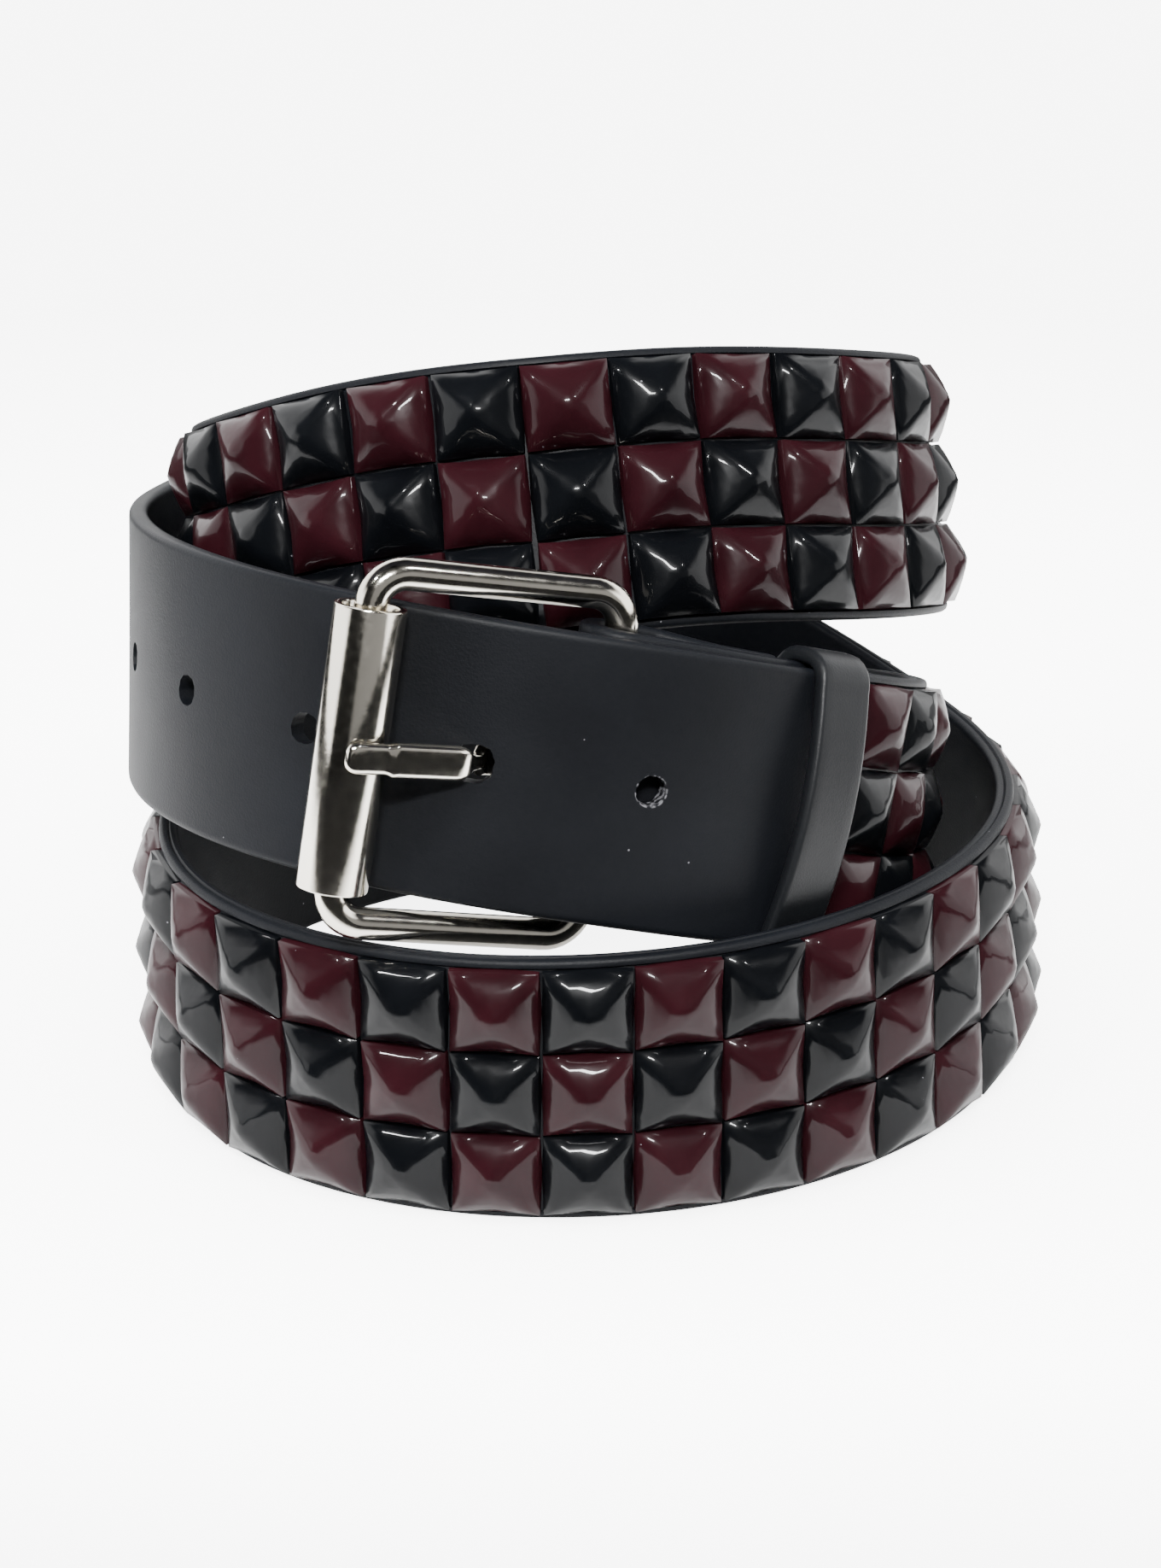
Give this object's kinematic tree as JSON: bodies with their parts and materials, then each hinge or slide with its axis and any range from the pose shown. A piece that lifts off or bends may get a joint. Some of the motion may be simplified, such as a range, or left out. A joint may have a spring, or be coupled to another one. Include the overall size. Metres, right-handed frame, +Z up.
{
  "type": "studded belt",
  "caption": "Leather belt with three rows of square pyramid studs, a plain holed tail, a keeper and a single-prong roller buckle, coiled and standing on its edge.",
  "frame": {"origin": "centre of the underside of the belt's box, on the floor that it stands on", "axes": "+Z up, -Y towards the buckle, +X towards the tail's tip"},
  "size_m": [0.1494, 0.1692, 0.1173],
  "materials": {
    "leather": "semi-matt black leather with a fine grain and rounded edges",
    "enamel": "glossy enamel, black and dark maroon in a checkerboard",
    "nickel": "polished nickel plate with light scratches"
  },
  "bodies": {
    "root": {"leather_strap": "leather", "studs_lower": "enamel", "studs_upper": "enamel", "buckle_frame": "nickel", "roller": "nickel", "prong": "nickel", "keeper": "leather"}
  },
  "joints": []
}
